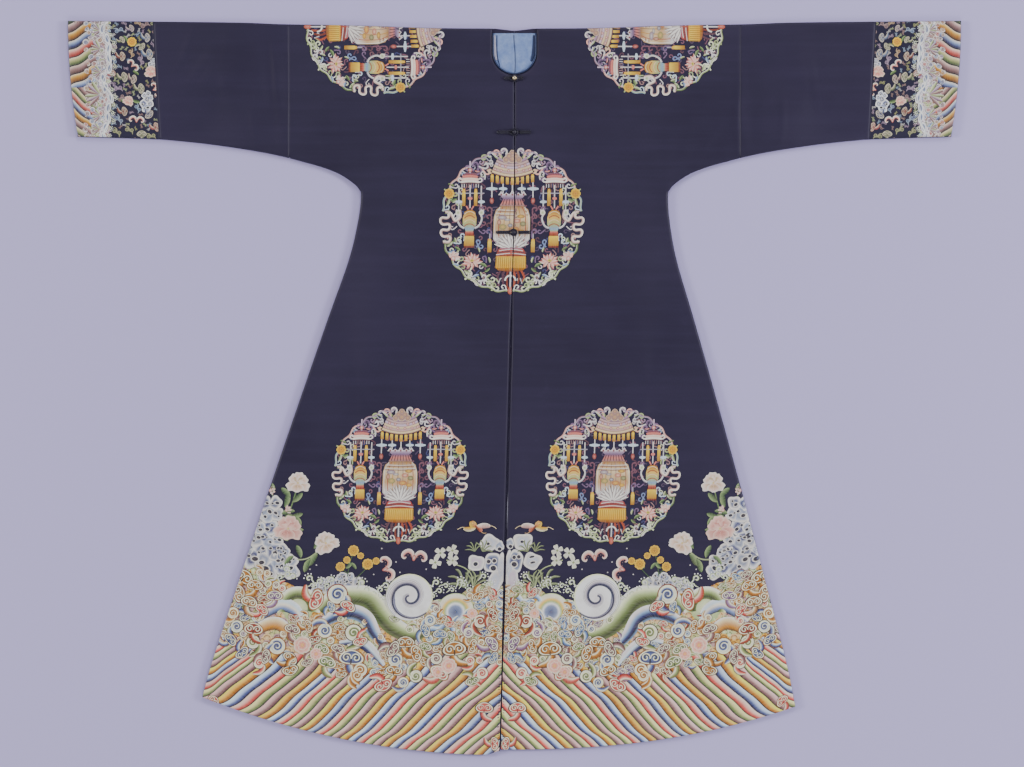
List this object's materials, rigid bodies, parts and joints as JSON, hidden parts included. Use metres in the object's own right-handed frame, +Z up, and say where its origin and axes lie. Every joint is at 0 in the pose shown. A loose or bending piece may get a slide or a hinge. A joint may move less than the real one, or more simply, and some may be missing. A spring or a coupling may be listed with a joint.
{
  "type": "padded jacket: long padded surcoat laid flat",
  "caption": "Long padded silk surcoat laid flat, front up: round neck, centre-front opening, straight sleeves with cuff bands, flared skirt, embroidered roundels and striped hem border.",
  "frame": {"origin": "on the surface the garment lies on, under the centre of its outline", "axes": "+X to the viewer's right along the sleeves, +Y from the hem to the neck, +Z up out of the surface, through the front layer"},
  "size_m": [1.722, 1.4138, 0.0176],
  "materials": {
    "satin": "blue-black silk satin with a soft sheen over thin wadding",
    "embroidery": "many-coloured silk floss in satin stitch with couched metal thread",
    "cuff_satin": "blue-black silk satin, densely embroidered",
    "lining": "pale blue silk, softly glossy",
    "binding": "dark blue silk piping",
    "cord": "folded satin cord",
    "button_metal": "worn gilt"
  },
  "bodies": {
    "root": {"front_left": "satin", "front_right": "satin", "back_left": "satin", "back_right": "satin", "sleeve_left": "satin", "sleeve_right": "satin", "cuff_left": "cuff_satin", "cuff_right": "cuff_satin", "neck_lining": "lining", "neck_binding": "binding", "button_neck": "button_metal", "button_upper": "cord", "button_chest": "cord", "frog_bar_neck": "cord", "frog_bar_upper": "cord", "frog_bar_chest": "cord", "frog_loop_neck": "cord", "frog_loop_upper": "cord", "frog_loop_chest": "cord"}
  },
  "joints": []
}
